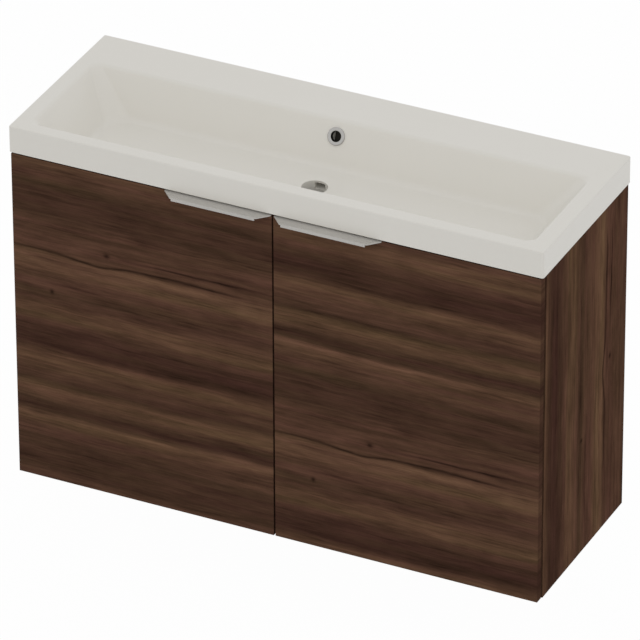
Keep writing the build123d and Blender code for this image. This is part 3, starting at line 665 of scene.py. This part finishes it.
def smooth_by_angle(mesh: bmesh.types.BMesh, degrees: float) -> None:
    """Shade faces smooth and keep the edges sharper than an angle crisp."""
    for face in mesh.faces:
        face.smooth = True
    for edge in mesh.edges:
        edge.smooth = len(edge.link_faces) == 2 and edge.calc_face_angle(math.pi) < math.radians(degrees)


def apply_modifiers(piece: bpy.types.Object) -> None:
    """Bake a piece's modifiers into its mesh."""
    graph = bpy.context.evaluated_depsgraph_get()
    baked = bpy.data.meshes.new_from_object(piece.evaluated_get(graph))
    old = piece.data
    piece.modifiers.clear()
    piece.data = baked
    baked.name = old.name
    bpy.data.meshes.remove(old)


def weigh_normals(piece: bpy.types.Object) -> None:
    """Let broad flat faces lead the shading of the narrow rounds beside them."""
    modifier = piece.modifiers.new("weighted", "WEIGHTED_NORMAL")
    modifier.keep_sharp = True
    modifier.weight = 60


@dataclass
class BowlWall:
    """One of the four sides of the bowl, from its place at the rim to the floor."""

    rim: float
    inward: float
    run: float

    def at(self, depth: float, whole: float, rim_round: float, floor_round: float) -> float:
        """Give the wall's place at a depth, with the rounds at the rim and the floor.

        Args:
            depth: How far below the deck.
            whole: The depth of the floor.
            rim_round: The radius over the rim.
            floor_round: The radius at the floor.

        Returns:
            The place along the wall's own axis.
        """
        lean = math.atan2(self.run, whole)
        turn = math.pi / 2 - lean
        height = whole - depth
        if depth < rim_round * (1 - math.cos(turn)):
            sweep = math.acos(1 - depth / rim_round)
            inset = rim_round * (math.sin(sweep) - math.tan(turn / 2))
        elif height < floor_round * (1 - math.cos(turn)):
            sweep = math.acos(1 - height / floor_round)
            inset = self.run + floor_round * (math.tan(turn / 2) - math.sin(sweep))
        else:
            inset = self.run * depth / whole
        return self.rim + self.inward * inset


@dataclass(frozen=True)
class Outline:
    """A level rectangle with round corners, which is a circle where the corners meet."""

    x: tuple[float, float]
    y: tuple[float, float]
    z: float
    radius: float

    def points(self, steps: int) -> list[Vector]:
        """Give its points, from the front right corner round to the left.

        Args:
            steps: How many steps each corner's quarter turn has.

        Returns:
            The points in order.
        """
        found = []
        for quarter, (side, end) in enumerate(((1, 0), (1, 1), (0, 1), (0, 0))):
            centre = Vector((
                self.x[side] + (1 - 2 * side) * self.radius,
                self.y[end] + (1 - 2 * end) * self.radius,
                self.z,
            ))
            for step in range(steps + 1):
                angle = math.pi / 2 * (quarter - 1 + step / steps)
                found.append(centre + self.radius * Vector((math.cos(angle), math.sin(angle), 0.0)))
        return found


@dataclass
class Basin:
    """The cast basin and the chrome ring in its overflow."""

    skirt: float = 0.012
    deck: float = 0.012
    height: float = 0.050
    corner: float = 0.004
    edge_round: float = 0.002
    end_rim: float = 0.030
    front_rim: float = 0.030
    back_deck: float = 0.098
    end_run: float = 0.055
    front_run: float = 0.012
    back_run: float = 0.037
    depth: float = 0.077
    wall: float = 0.009
    rim_round: float = 0.010
    floor_round: float = 0.016
    rim_corner: float = 0.018
    floor_corner: float = 0.040
    waste_from_front: float = 0.164
    waste_radius: float = 0.023
    dish_radius: float = 0.044
    dish_depth: float = 0.005
    boss_radius: float = 0.033
    boss_height: float = 0.022
    duct_width: float = 0.020
    duct_depth: float = 0.012
    duct_wall: float = 0.005
    overflow_drop: float = 0.0265
    overflow_hole: float = 0.0121
    ring_radius: float = 0.016
    ring_bore: float = 0.0095
    ring_height: float = 0.0022
    ring_round: float = 0.001
    sleeve_radius: float = 0.012
    sleeve_length: float = 0.008
    corner_steps: int = 12
    wall_shares: tuple[float, ...] = (0.2, 0.35, 0.5, 0.65)
    hole_sides: int = 48
    ring_sides: int = 64
    crisp: float = 32.0
    ring_crisp: float = 40.0

    def __post_init__(self) -> None:
        """Take the outside from the frame."""
        self.low, self.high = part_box("basin")
        self.top = self.high.z
        self.bottom = self.top - self.height
        self.waste = Vector((0.0, self.low.y + self.waste_from_front, 0.0))
        self.lean = math.atan2(self.back_run, self.depth)

    def bowl_levels(self) -> Iterable[Outline]:
        """Give the bowl's outlines from the deck down to the floor."""
        end = BowlWall(self.high.x - self.end_rim, -1.0, self.end_run)
        front = BowlWall(self.low.y + self.front_rim, 1.0, self.front_run)
        back = BowlWall(self.high.y - self.back_deck, -1.0, self.back_run)
        drops = [1 - math.cos(math.radians(step)) for step in range(0, 84, 9)]
        depths = [self.rim_round * drop for drop in drops]
        depths += [self.depth * share for share in self.wall_shares]
        depths += [self.depth - self.floor_round * drop for drop in reversed(drops)]
        for depth in depths:
            place = (depth, self.depth, self.rim_round, self.floor_round)
            x = end.at(*place)
            share = depth / self.depth
            corner = self.rim_corner + (self.floor_corner - self.rim_corner) * share
            yield Outline((-x, x), (front.at(*place), back.at(*place)), self.top - depth, corner)

    def shell_levels(self) -> Iterable[Outline]:
        """Give the outlines of the bowl's outside, from under the floor up to the deck's underside."""
        for depth in (self.depth + self.wall, self.deck):
            share = (depth - self.edge_round) / (self.depth + self.wall - self.edge_round)
            x = self.high.x - self.end_rim + self.wall - self.end_run * share
            front = self.low.y + self.front_rim - self.wall + self.front_run * share
            back = self.high.y - self.back_deck + self.wall - self.back_run * share
            corner = self.rim_corner + self.wall + (self.floor_corner - self.rim_corner) * share
            yield Outline((-x, x), (front, back), self.top - depth, corner)

    def round_level(self, z: float, radius: float) -> Outline:
        """Give a circle about the waste."""
        return Outline((-radius, radius), (self.waste.y - radius, self.waste.y + radius), z, radius)

    def levels(self) -> list[Outline]:
        """Give the casting's outlines in order: up the skirt, over the deck, down the bowl and back below."""
        left, right, front, back = self.low.x, self.high.x, self.low.y, self.high.y
        found = [Outline((left, right), (front, back), self.bottom, self.corner)]
        for step in range(0, 91, 15):
            inset = self.edge_round * (1 - math.cos(math.radians(step)))
            z = self.top - self.edge_round * (1 - math.sin(math.radians(step)))
            found.append(
                Outline((left + inset, right - inset), (front + inset, back - inset), z, self.corner - inset)
            )
        found += self.bowl_levels()
        floor = self.top - self.depth
        dish = floor - self.dish_depth
        boss = dish - self.boss_height
        found += [
            self.round_level(floor, self.dish_radius),
            self.round_level(dish, self.waste_radius),
            self.round_level(boss, self.waste_radius),
            self.round_level(boss, self.boss_radius),
            self.round_level(floor - self.wall, self.boss_radius),
        ]
        found += self.shell_levels()
        inside = ((left + self.skirt, right - self.skirt), (front + self.skirt, back - self.skirt))
        found += [Outline(*inside, z, self.corner) for z in (self.top - self.deck, self.bottom)]
        return found

    def casting(self) -> bmesh.types.BMesh:
        """Extrude the casting from outline to outline until it closes on itself."""
        mesh = bmesh.new()
        levels = self.levels()
        ring = [mesh.verts.new(point) for point in levels[0].points(self.corner_steps)]
        edges = [mesh.edges.new(pair) for pair in zip(ring, ring[1:] + ring[:1])]
        for level in levels[1:] + levels[:1]:
            grown = bmesh.ops.extrude_edge_only(mesh, edges=edges)["geom"]
            fresh = {item for item in grown if isinstance(item, bmesh.types.BMVert)}
            ring = [
                next(edge.other_vert(old) for edge in old.link_edges if edge.other_vert(old) in fresh)
                for old in ring
            ]
            for vertex, point in zip(ring, level.points(self.corner_steps)):
                vertex.co = point
            lines = [item for item in grown if isinstance(item, bmesh.types.BMEdge)]
            edges = [edge for edge in lines if fresh.issuperset(edge.verts)]
        bmesh.ops.remove_doubles(mesh, verts=mesh.verts, dist=1e-6)
        bmesh.ops.recalc_face_normals(mesh, faces=mesh.faces)
        return mesh

    def prism(self, outline: Sequence[tuple[float, float]], half: float) -> bmesh.types.BMesh:
        """Build a closed prism across X from an outline of y and z points."""
        mesh = bmesh.new()
        face = mesh.faces.new([mesh.verts.new((-half, y, z)) for y, z in outline])
        moved = bmesh.ops.extrude_face_region(mesh, geom=[face])["geom"]
        vertices = [item for item in moved if isinstance(item, bmesh.types.BMVert)]
        bmesh.ops.translate(mesh, verts=vertices, vec=(2 * half, 0.0, 0.0))
        bmesh.ops.recalc_face_normals(mesh, faces=mesh.faces)
        return mesh

    def back_at(self, z: float) -> float:
        """Give the y of the bowl's back wall at a height."""
        return self.high.y - self.back_deck - self.back_run * (self.top - z) / self.depth

    def duct(self, wall: float, start: float) -> bmesh.types.BMesh:
        """Build the overflow duct down the back of the bowl, solid, with a wall around its channel.

        Args:
            wall: What is added all round to the channel, 0 for the channel itself.
            start: How far the prism reaches back into the bowl's own wall.

        Returns:
            The closed prism.
        """
        run = self.wall / math.cos(self.lean)
        top = self.top - self.deck - self.duct_wall + wall
        under = self.top - self.depth - self.wall
        low = under - self.duct_depth - wall
        out = run + self.duct_depth + wall
        near = self.waste.y + (self.boss_radius - self.duct_wall if wall else 0.0)
        outline = [
            (self.back_at(top) + run - start, top),
            (self.back_at(top) + out, top),
            (self.back_at(low) + out, low),
            (near, low),
            (near, under + start),
            (self.back_at(under) + run - start, under + start),
        ]
        return self.prism(outline, self.duct_width / 2 + wall)

    def overflow_frame(self) -> Matrix:
        """Give the placing whose Z points out of the back wall at the overflow."""
        z = self.top - self.overflow_drop
        turn = Matrix.Rotation(math.pi / 2 - self.lean, 4, "X")
        return Matrix.Translation((0.0, self.back_at(z), z)) @ turn

    def overflow_hole_cutter(self) -> bmesh.types.BMesh:
        """Build the round bar that bores the overflow through the bowl's wall."""
        mesh = bmesh.new()
        length = 2 * self.wall + self.duct_depth / 2
        middle = Matrix.Translation((0.0, 0.0, self.wall - length / 2))
        bmesh.ops.create_cone(mesh, cap_ends=True, segments=self.hole_sides, radius1=self.overflow_hole,
                              radius2=self.overflow_hole, depth=length, matrix=self.overflow_frame() @ middle)
        return mesh

    def ring(self) -> bmesh.types.BMesh:
        """Spin the chrome ring and its sleeve about the overflow's axis."""
        mesh = bmesh.new()
        soft = [math.radians(step) for step in range(0, 91, 15)]
        section = [
            (self.sleeve_radius, -self.sleeve_length),
            (self.sleeve_radius, 0.0),
            (self.ring_radius, 0.0),
        ]
        section += [
            (self.ring_radius - self.ring_round * (1 - math.cos(a)),
             self.ring_height - self.ring_round * (1 - math.sin(a)))
            for a in soft
        ]
        section += [
            (self.ring_bore + self.ring_round * (1 - math.sin(a)),
             self.ring_height - self.ring_round * (1 - math.cos(a)))
            for a in soft
        ]
        section.append((self.ring_bore, -self.sleeve_length))
        vertices = [mesh.verts.new((radius, 0.0, height)) for radius, height in section]
        edges = [mesh.edges.new(pair) for pair in zip(vertices, vertices[1:] + vertices[:1])]
        bmesh.ops.spin(mesh, geom=vertices + edges, cent=(0.0, 0.0, 0.0), axis=(0.0, 0.0, 1.0),
                       angle=2 * math.pi, steps=self.ring_sides, use_merge=True, use_duplicate=False)
        bmesh.ops.remove_doubles(mesh, verts=mesh.verts, dist=1e-6)
        bmesh.ops.recalc_face_normals(mesh, faces=mesh.faces)
        bmesh.ops.transform(mesh, matrix=self.overflow_frame(), verts=mesh.verts)
        smooth_by_angle(mesh, self.ring_crisp)
        return mesh

    def in_duct(self, point: Vector) -> bool:
        """Tell whether a point lies on the inner walls of the overflow duct."""
        across = abs(point.x) < self.duct_width / 2 + self.edge_round
        front = self.back_at(point.z) + self.edge_round
        back = self.back_at(point.z) + self.wall / math.cos(self.lean) + self.duct_depth
        return across and front < point.y < back + self.edge_round

    def darken_duct(self, piece: bpy.types.Object, shaded_raw: bpy.types.Material) -> None:
        """Give the duct's inner walls the rough casting's finish, whose dark grey is partly painted shade."""
        piece.data.materials.append(shaded_raw)
        for face in piece.data.polygons:
            if all(self.in_duct(piece.data.vertices[index].co) for index in face.vertices):
                face.material_index = 1

    def build(self, glaze: bpy.types.Material, chrome: bpy.types.Material, shaded_raw: bpy.types.Material) -> None:
        """Make the casting and the ring as pieces of the carcass body."""
        piece = new_piece("basin_casting", self.casting(), "carcass", glaze, "basin")
        fuse(piece, self.duct(self.duct_wall, self.wall / 2), "UNION")
        fuse(piece, self.duct(0.0, 0.0), "DIFFERENCE")
        fuse(piece, self.overflow_hole_cutter(), "DIFFERENCE")
        shade_piece(piece, self.crisp)
        # The duct's walls take the dark casting, whose grey is partly painted shade.
        self.darken_duct(piece, shaded_raw)
        weigh_normals(piece)
        new_piece("overflow_trim", self.ring(), "carcass", chrome, "overflow_ring")


def fuse(piece: bpy.types.Object, tool: bmesh.types.BMesh, operation: str) -> None:
    """Join a closed tool mesh to a piece, or cut it away.

    Args:
        piece: The piece to change.
        tool: The tool's mesh, which is freed.
        operation: UNION or DIFFERENCE.
    """
    data = bpy.data.meshes.new("tool")
    tool.to_mesh(data)
    tool.free()
    helper = bpy.data.objects.new("tool", data)
    bpy.context.scene.collection.objects.link(helper)
    modifier = piece.modifiers.new("fuse", "BOOLEAN")
    modifier.operation = operation
    modifier.solver = "EXACT"
    modifier.object = helper
    bpy.context.view_layer.update()
    apply_modifiers(piece)
    bpy.data.objects.remove(helper)
    bpy.data.meshes.remove(data)


def shade_piece(piece: bpy.types.Object, degrees: float) -> None:
    """Shade a finished piece smooth, with crisp edges past an angle."""
    mesh = bmesh.new()
    mesh.from_mesh(piece.data)
    smooth_by_angle(mesh, degrees)
    mesh.to_mesh(piece.data)
    mesh.free()


@dataclass
class SoftenedPart:
    """A copy of a node whose arrises are eased, as a board's or a pressing's are."""

    node: str
    ease: float
    steps: int = 2
    crisp: float = 40.0

    def build(self, name: str, slot: str, material: bpy.types.Material) -> bpy.types.Object:
        """Make the eased copy in place of its node.

        Args:
            name: The new piece's name.
            slot: The record's material slot; not used.
            material: Its material.

        Returns:
            The new piece.
        """
        source = frame["nodes"][self.node]
        mesh = bmesh.new()
        mesh.from_mesh(source.data)
        bmesh.ops.remove_doubles(mesh, verts=mesh.verts, dist=1e-6)
        bmesh.ops.dissolve_limit(mesh, angle_limit=math.radians(0.5), verts=mesh.verts, edges=mesh.edges,
                                 use_dissolve_boundaries=False)
        sharp = [edge for edge in mesh.edges
                 if len(edge.link_faces) == 2 and edge.calc_face_angle(0.0) > math.radians(self.crisp)
                 and edge.is_convex]
        bmesh.ops.bevel(mesh, geom=sharp, offset=self.ease, offset_type="OFFSET", profile=0.5,
                        segments=self.steps, affect="EDGES", clamp_overlap=True, material=-1)
        smooth_by_angle(mesh, self.crisp)
        piece = new_piece(name, mesh, source["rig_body"], material, self.node)
        weigh_normals(piece)
        return piece


def dress(nodes: Iterable[str], material: bpy.types.Material) -> None:
    """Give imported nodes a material, on meshes of their own."""
    for name in nodes:
        slots = frame["nodes"][name].data.materials
        slots.clear()
        slots.append(material)
        log.info("node %s takes %s", name, material.name)


def named(*starts: str) -> list[str]:
    """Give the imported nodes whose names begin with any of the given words."""
    return sorted(name for name in frame["nodes"] if name.startswith(starts))


@dataclass
class Cabinet:
    """The carcass, its shelf and fittings, and the hanging gear."""

    ease: float = 0.0004

    def build(self) -> None:
        """Dress the boards and the fittings."""
        for side, shift in (("left", 0.13), ("right", 0.0)):
            # The sides' decor is 2% lighter, painted light for their sideways face.
            walnut = Walnut(f"walnut_side_{side}", Grain.UP_SIDE, 0.33 + shift, 0.052 + shift, 1.2,
                            painted_light_scale=1.02, shades=SIDE_SHADES).material()
            SoftenedPart(f"side_{side}", self.ease).build(f"side_board_{side}", "walnut_side", walnut)
        rails = Walnut("walnut_rails", Grain.ACROSS_FRONT, 0.21, 0.07).material()
        shelves = Walnut("walnut_shelves", Grain.ALONG_SHELF, 0.44, 0.11).material()
        dress(["hanging_rail", "back_panel"], rails)
        dress(["bottom_panel", "front_rail", "shelf"], shelves)
        zinc = Metal("fitting_zinc", paint(167, 167, 169), 0.38).material()
        dress(["shelf_pins", "cams", "cam_bolts"], zinc)
        dress(["dowels"], Beech().material())
        hanger = Moulded("hanger_plastic", paint(229, 227, 220)).material()
        dress(named("hanger_left", "hanger_right"), hanger)
        cover = Moulded("cover_plastic", paint(220, 218, 211), 0.4).material()
        dress(named("hanger_cover"), cover)
        steel = Metal("hanger_steel", paint(178, 180, 183), 0.34, (60.0, 500.0, 500.0)).material()
        dress(named("hanger_hook", "wall_plate"), steel)


@dataclass
class Doors:
    """The two doors, their handles and their buffers."""

    ease: float = 0.0004
    handle_ease: float = 0.0005

    def build(self) -> None:
        """Dress both doors."""
        brushed = Metal(
            "handle_aluminium", paint(201, 198, 193), 0.42, (30.0, 900.0, 900.0), metallic=0.3
        ).material()
        rubber = Moulded("buffer", paint(211, 211, 209), 0.35).material()
        for side, along, across in (("left", 0.4965, 0.0), ("right", -0.0015, 0.2475)):
            walnut = Walnut(f"walnut_front_{side}", Grain.ACROSS_FRONT, along, across).material()
            SoftenedPart(f"door_{side}", self.ease).build(f"door_board_{side}", "walnut_front", walnut)
            handle = SoftenedPart(f"handle_{side}", self.handle_ease)
            handle.build(f"edge_pull_{side}", "handle_aluminium", brushed)
            dress([f"door_buffers_{side}"], rubber)


class Hinges:
    """The concealed hinges and every screw of the unit."""

    def build(self) -> None:
        """Dress the hinges and the screws."""
        nickel = Metal("hinge_steel", paint(196, 194, 189), 0.26, (240.0, 240.0, 240.0)).material()
        dress(named("hinge_cup", "hinge_lever", "hinge_arm_left", "hinge_arm_right", "hinge_plate_left",
                    "hinge_plate_right", "cup_pins", "arm_pins"), nickel)
        screws = Metal("screw_steel", paint(178, 176, 169), 0.30, (700.0, 700.0, 700.0)).material()
        dress(named("handle_screws", "cup_screws", "hinge_plate_screws", "hinge_arm_screws",
                    "hanger_screws"), screws)


@dataclass
class Studio:
    """The camera at the photograph's angle, a pale floor and soft, even light."""

    azimuth: float = 25.804
    elevation: float = 30.80
    roll: float = -0.207
    distance: float = 12.974
    aim: tuple[float, float, float] = (0.0029, -0.183, -0.1465)
    focal_pixels: float = 7540.1
    image_pixels: float = 640.0
    film_width: float = 36.0
    floor_below: float = 0.160
    floor_half: float = 6.0
    floor_grey: float = 0.84
    floor_whiteness: float = 0.98
    ambient: float = 0.665
    key_power: float = 6.5
    key_size: float = 3.0
    key_place: tuple[float, float, float] = (1.2, -3.0, 2.8)

    def camera(self) -> None:
        """Make the camera that frames the unit as the photograph does."""
        data = bpy.data.cameras.new("camera")
        data.sensor_fit = "HORIZONTAL"
        data.sensor_width = self.film_width
        data.lens = self.focal_pixels / self.image_pixels * self.film_width
        data.clip_end = 100.0
        azimuth, elevation = math.radians(self.azimuth), math.radians(self.elevation)
        away = Vector((
            math.sin(azimuth) * math.cos(elevation),
            -math.cos(azimuth) * math.cos(elevation),
            math.sin(elevation),
        ))
        camera = bpy.data.objects.new("camera", data)
        turn = away.to_track_quat("Z", "Y").to_matrix().to_4x4()
        roll = Matrix.Rotation(math.radians(self.roll), 4, "Z")
        camera.matrix_world = Matrix.Translation(Vector(self.aim) + away * self.distance) @ turn @ roll
        bpy.context.scene.collection.objects.link(camera)
        bpy.context.scene.camera = camera

    def shown_directly(self, recipe: Recipe) -> Value:
        """Give 1 for rays that reach a surface from the lens, a mirror or glass, and 0 for others."""
        rays = recipe.node("ShaderNodeLightPath")
        outputs = rays.socket.node.outputs
        direct = Value(recipe, outputs["Is Camera Ray"]) + Value(recipe, outputs["Is Glossy Ray"])
        return recipe.clamp(direct + Value(recipe, outputs["Is Transmission Ray"]))

    def floor(self) -> None:
        """Lay the pale floor below the unit."""
        mesh = bmesh.new()
        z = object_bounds()[0][2] - self.floor_below
        bmesh.ops.create_grid(mesh, x_segments=4, y_segments=4, size=self.floor_half,
                              matrix=Matrix.Translation((0.0, 0.0, z)))
        data = bpy.data.meshes.new("floor")
        mesh.to_mesh(data)
        mesh.free()
        floor = bpy.data.objects.new("floor", data)
        bpy.context.scene.collection.objects.link(floor)
        owner = bpy.data.materials.new("pale_floor")
        recipe = Recipe(owner)
        matt = recipe.node("ShaderNodeBsdfPrincipled", inputs={
            "Base Color": (self.floor_grey, self.floor_grey, self.floor_grey, 1.0),
            "Roughness": 0.9,
            "Specular IOR Level": 0.1,
        })
        white = recipe.node("ShaderNodeEmission", inputs={"Color": (1.0, 1.0, 1.0, 1.0), "Strength": 1.0})
        share = self.shown_directly(recipe) * self.floor_whiteness
        mixed = recipe.node("ShaderNodeMixShader", inputs={0: share, 1: matt, 2: white})
        recipe.node("ShaderNodeOutputMaterial", inputs={"Surface": mixed})
        data.materials.append(owner)
        floor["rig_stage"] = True

    def light(self) -> None:
        """Set the even ambient light and one broad soft lamp."""
        world = bpy.data.worlds.new("studio")
        bpy.context.scene.world = world
        recipe = Recipe(world)
        seen = recipe.node("ShaderNodeBackground", inputs={"Color": (1.0, 1.0, 1.0, 1.0), "Strength": 1.0})
        soft = recipe.node("ShaderNodeBackground", inputs={
            "Color": (1.0, 1.0, 1.0, 1.0), "Strength": self.ambient,
        })
        share = self.shown_directly(recipe)
        mixed = recipe.node("ShaderNodeMixShader", inputs={0: share, 1: soft, 2: seen})
        recipe.node("ShaderNodeOutputWorld", inputs={"Surface": mixed})
        lamp = bpy.data.lights.new("key", "AREA")
        lamp.shape = "SQUARE"
        lamp.size = self.key_size
        lamp.energy = self.key_power
        key = bpy.data.objects.new("key", lamp)
        place = Vector(self.key_place)
        turn = (place - Vector(self.aim)).to_track_quat("Z", "Y").to_matrix().to_4x4()
        key.matrix_world = Matrix.Translation(place) @ turn
        bpy.context.scene.collection.objects.link(key)

    def build(self) -> None:
        """Set the stage."""
        bpy.context.scene.view_settings.view_transform = "Standard"
        self.camera()
        self.floor()
        self.light()
        log.info("camera, floor and lights are set")


def write_sizes(packed: Sequence[Sequence[float]]) -> None:
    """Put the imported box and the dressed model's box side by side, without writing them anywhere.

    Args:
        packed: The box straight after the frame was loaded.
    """
    boxes = {"cad": packed, "visual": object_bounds()}
    {name: [[float(v) for v in corner] for corner in box] for name, box in boxes.items()}


def main() -> None:
    """Build the studio and every sub-assembly in order."""
    logging.basicConfig(level=logging.INFO)
    packed = [[float(v) for v in corner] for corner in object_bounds()]
    Studio().build()
    Cabinet().build()
    Doors().build()
    Hinges().build()
    chrome = Metal("chrome", paint(178, 176, 173), 0.10).material()
    Basin().build(Glaze().material(), chrome, RawShadedCasting().material())
    write_sizes(packed)


if __name__ == "__main__":
    main()
